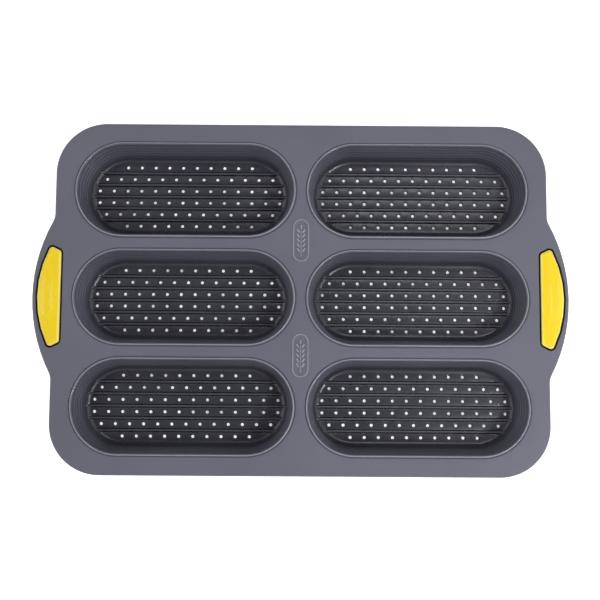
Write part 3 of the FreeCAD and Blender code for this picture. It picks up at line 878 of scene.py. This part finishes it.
def silicone(name, dark, light, worn_and_highlight, roughness, grain, specular, sheen, satin_and_painted_light=False):
    """Moulded silicone: slow colour drift, fine grain, patches of handling sheen, and rubbed, shinier edges
    painted paler, partly rubbing and partly painted highlight; recesses are painted dark as painted shade.

    Satin is for a surface that turns duller above the cup floors and is painted paler there, easing its
    painted shade. Grain is its depth in metres.
    """
    n = Nodes(name)
    wear_and_painted_light = n.add("ShaderNodeAttribute", attribute_name="wear_and_painted_light").outputs["Fac"]
    uneven = n.remap(n.noise(RUB_SIZE, 3.0, 0.6), 0.3, 0.7, 0.75, 1.0)
    # Masks: recesses, painted dark as painted shade, and rubbed edges, painted paler as rubbing and painted
    # highlight.
    recess_shade = n.remap(wear_and_painted_light, 0, -1, 0, 1)
    rub_and_highlight = n.math("MULTIPLY", n.remap(wear_and_painted_light, 0, 1, 0, 1), uneven)
    drift = n.noise(DRIFT_SIZE, 3.0)
    colour = n.ramp(n.remap(drift, 0.3, 0.7, 0, 1), [(0.0, dark), (1.0, light)])
    # Painted light: up the wall, the cups' painted shade is painted paler.
    if satin_and_painted_light:
        height = n.add("ShaderNodeSeparateXYZ", {"Vector": n.place}).outputs["Z"]
        above = n.remap(height, SATIN_FROM * MM, SATIN_FULL * MM, 0, 1)
        paler = n.ramp(drift, [(0.3, shaded(dark, SATIN_PAINTED_LIGHT)), (0.7, shaded(light, SATIN_PAINTED_LIGHT))])
        colour = n.mix(above, colour, paler)
    # Rubbed edges painted paler, partly rubbing and partly painted highlight; then recesses painted dark, as
    # painted shade.
    colour = n.mix(rub_and_highlight, colour, (*worn_and_highlight, 1.0))
    colour = n.mix(recess_shade, colour, (*shaded(dark, PAINTED_RECESS_SHADE), 1.0))
    speck = n.noise(SPECK_SIZE, 2.0, 0.7)
    shade = n.remap(speck, 0.3, 0.7, 1 - SPECK_CONTRAST, 1 + SPECK_CONTRAST)
    tint = n.add("ShaderNodeCombineColor", {"Red": shade, "Green": shade, "Blue": shade}).outputs["Color"]
    n.set(n.shader.inputs["Base Color"], n.mix(1.0, colour, tint, "MULTIPLY"))
    patches = n.noise(PATCH_SIZE, 4.0, 0.6)
    rough = n.remap(patches, 0.25, 0.75, roughness - PATCH_ROUGHNESS, roughness + PATCH_ROUGHNESS)
    if satin_and_painted_light:
        rough = n.math("MULTIPLY_ADD", above, SATIN_ROUGHNESS - roughness, rough)
    n.set(n.shader.inputs["Roughness"], n.math("MULTIPLY_ADD", rub_and_highlight, -RUB_POLISH, rough))
    fine = n.bump(n.noise(GRAIN_SIZE, 3.0, 0.6), grain)
    n.set(n.shader.inputs["Normal"], n.bump(n.noise(RIPPLE_SIZE, 2.0), RIPPLE_DEPTH, fine))
    n.shader.inputs["Specular IOR Level"].default_value = specular
    n.shader.inputs["Sheen Weight"].default_value = sheen
    n.shader.inputs["Sheen Roughness"].default_value = 0.5
    return n.material


def matte_silicone():
    """The moulding's outside and deck."""
    return silicone(
        "matte_grey_silicone",
        dark=(0.123, 0.124, 0.154), light=(0.139, 0.140, 0.172), worn_and_highlight=(0.37, 0.37, 0.41),
        roughness=0.58, grain=0.000012, specular=0.45, sheen=0.05,
    )


def polished_shaded_silicone():
    """The inside of the cups and vents: glossier than the deck, with a dark colour that is painted shade."""
    return silicone(
        "polished_grey_silicone_painted_shade",
        dark=(0.034, 0.034, 0.043), light=(0.044, 0.044, 0.056), worn_and_highlight=(0.13, 0.13, 0.15),
        roughness=0.29, grain=0.000006, specular=0.5, sheen=0.0, satin_and_painted_light=True,
    )


def yellow_silicone():
    """The grips."""
    return silicone(
        "yellow_silicone",
        dark=(0.92, 0.64, 0.008), light=(0.96, 0.69, 0.014), worn_and_highlight=(1.0, 0.87, 0.22),
        roughness=0.44, grain=0.000008, specular=0.30, sheen=0.0,
    )


def wire_material():
    """Drawn steel wire: fine mottling, and patches of dull oxide."""
    n = Nodes("drawn_steel")
    streak = n.noise(0.0012, 6.0, 0.7)
    steel = n.ramp(streak, [(0.3, (0.42, 0.42, 0.43)), (0.7, (0.66, 0.66, 0.67))])
    n.set(n.shader.inputs["Base Color"], steel)
    n.set(n.shader.inputs["Roughness"], n.remap(n.noise(0.004, 3.0), 0.3, 0.7, 0.28, 0.42))
    n.set(n.shader.inputs["Normal"], n.bump(n.noise(0.0003, 2.0), 0.00001))
    n.shader.inputs["Metallic"].default_value = 1.0
    return n.material


def table_material():
    """Pale table that glows evenly, and less under the tray, in soft patches, as a painted shadow."""
    n = Nodes("pale_table")
    tone = n.remap(n.noise(0.3, 2.0), 0.3, 0.7, 0.80, 0.84)
    colour = n.add("ShaderNodeCombineColor", {"Red": tone, "Green": tone, "Blue": tone}).outputs["Color"]
    n.set(n.shader.inputs["Base Color"], colour)
    n.shader.inputs["Roughness"].default_value = 0.9
    n.shader.inputs["Specular IOR Level"].default_value = 0.1
    n.shader.inputs["Emission Color"].default_value = (1, 1, 1, 1)
    spot = n.add("ShaderNodeSeparateXYZ", {"Vector": n.place})
    cover = []
    for axis, half in (("X", RIM_HIGH.x * MM), ("Y", RIM_HIGH.y * MM)):
        away = n.math("ABSOLUTE", spot.outputs[axis])
        cover.append(n.remap(away, half - SHADE_FULL, half - SHADE_START, 1, 0))
    under = n.remap(n.noise(SHADE_PATCH, 1.0), 0.35, 0.65, *SHADE_GLOW)
    glow = n.remap(n.math("MULTIPLY", *cover), 0, 1, TABLE_GLOW, under)
    n.set(n.shader.inputs["Emission Strength"], glow)
    return n.material


# ---------------------------------------------------------------- stage, light and camera

def make_stage():
    """The table, just below the plane that the tray stands on."""
    half, z = TABLE_HALF, -TABLE_DROP
    mesh = bpy.data.meshes.new("table")
    corners = [(-half, -half, z), (half, -half, z), (half, half, z), (-half, half, z)]
    mesh.from_pydata(corners, [], [(0, 1, 2, 3)])
    mesh.materials.append(table_material())
    table = bpy.data.objects.new("table", mesh)
    bpy.context.scene.collection.objects.link(table)


def softbox(name, place, size, watts):
    """A rectangular lamp that faces the origin."""
    light = bpy.data.lights.new(name, "AREA")
    light.shape = "RECTANGLE"
    light.size, light.size_y = size
    light.energy = watts
    light.color = COOL_WHITE
    lamp = bpy.data.objects.new(name, light)
    lamp.location = place
    lamp.rotation_euler = (Vector((0, 0, 0)) - lamp.location).to_track_quat("-Z", "Y").to_euler()
    bpy.context.scene.collection.objects.link(lamp)


def make_light():
    """A pale backdrop that fades upwards, and the softboxes."""
    world = bpy.data.worlds.new("studio")
    world.use_nodes = True
    tree = world.node_tree
    background = tree.nodes["Background"]
    background.inputs["Color"].default_value = (*COOL_WHITE, 1.0)
    direction = tree.nodes.new("ShaderNodeSeparateXYZ")
    tree.links.new(tree.nodes.new("ShaderNodeTexCoord").outputs["Generated"], direction.inputs["Vector"])
    fade = tree.nodes.new("ShaderNodeMapRange")
    fade.interpolation_type = "SMOOTHSTEP"
    tree.links.new(direction.outputs["Z"], fade.inputs["Value"])
    for socket, value in zip(("From Min", "From Max", "To Min", "To Max"), BACKDROP):
        fade.inputs[socket].default_value = value
    tree.links.new(fade.outputs["Result"], background.inputs["Strength"])
    bpy.context.scene.world = world
    for name, place, size, watts in SOFTBOXES:
        softbox(name, place, size, watts)


def make_camera():
    """The camera looks down at the tray, nearly square to it."""
    camera = bpy.data.cameras.new("camera")
    camera.sensor_width = CAMERA_SENSOR
    camera.lens = CAMERA_LENS
    viewer = bpy.data.objects.new("camera", camera)
    viewer.location = Vector(CAMERA_PLACE) + Vector((0, 0, DECK_TOP * MM))
    viewer.rotation_euler = [math.radians(turn) for turn in CAMERA_TURN]
    bpy.context.scene.collection.objects.link(viewer)
    bpy.context.scene.camera = viewer


# ---------------------------------------------------------------- everything

make_camera()
matte, polished_shaded, yellow = matte_silicone(), polished_shaded_silicone(), yellow_silicone()
make_body([matte, polished_shaded])
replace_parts(make_grip("hand_grip_right", 0.0, yellow), "grip_right")
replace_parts(make_grip("hand_grip_left", math.pi, yellow), "grip_left")
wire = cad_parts["rim_wire"]
wire.data.materials.clear()
wire.data.materials.append(wire_material())
make_stage()
make_light()
bpy.context.scene.view_settings.view_transform = "Standard"
